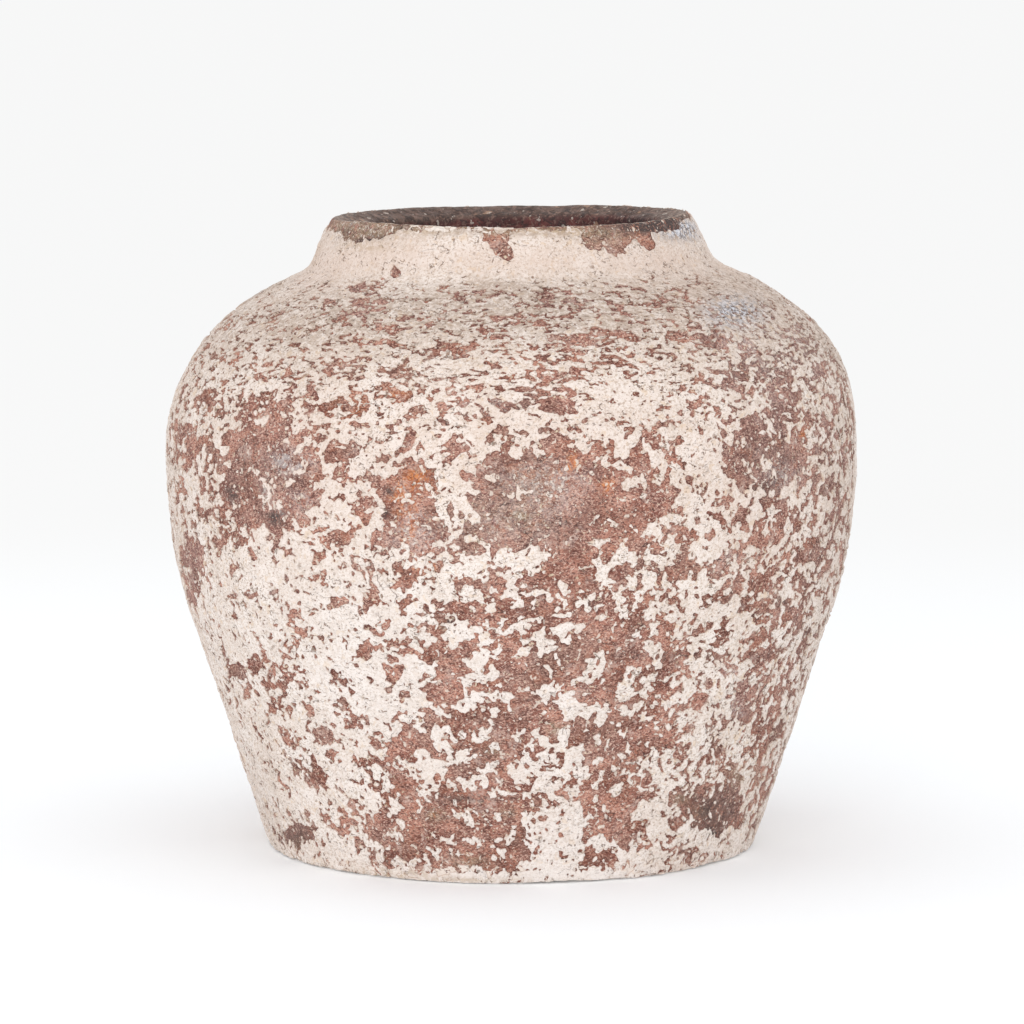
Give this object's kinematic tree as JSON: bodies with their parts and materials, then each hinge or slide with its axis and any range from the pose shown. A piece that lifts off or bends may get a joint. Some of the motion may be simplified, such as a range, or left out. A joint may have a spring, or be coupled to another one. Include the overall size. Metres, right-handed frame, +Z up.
{
  "type": "storage jar",
  "caption": "Squat, round-shouldered stoneware storage jar with a wide flat-bevelled mouth, open inside, its reddish clay showing through a flaking coat of lime.",
  "frame": {"origin": "middle of the flat underside, on the surface that the jar stands on", "axes": "+Z up, along the axis of the lower pot; -Y towards the weathered front that the picture shows; +X to the right of that view"},
  "size_m": [0.3301, 0.3295, 0.3011],
  "materials": {
    "clay": "dry, unglazed, coarse reddish brown stoneware",
    "lime": "matt, chalky, pitted cream lime wash with broken edges"
  },
  "bodies": {
    "root": {"base_slab": "clay", "lower_wall": "clay", "belly_wall": "clay", "shoulder_wall": "clay", "shoulder_crown": "clay", "neck_collar": "clay", "rim_lip": "clay", "lime_coat_foot": "lime", "lime_coat_belly": "lime", "lime_coat_shoulder": "lime", "lime_coat_collar": "lime"}
  },
  "joints": []
}
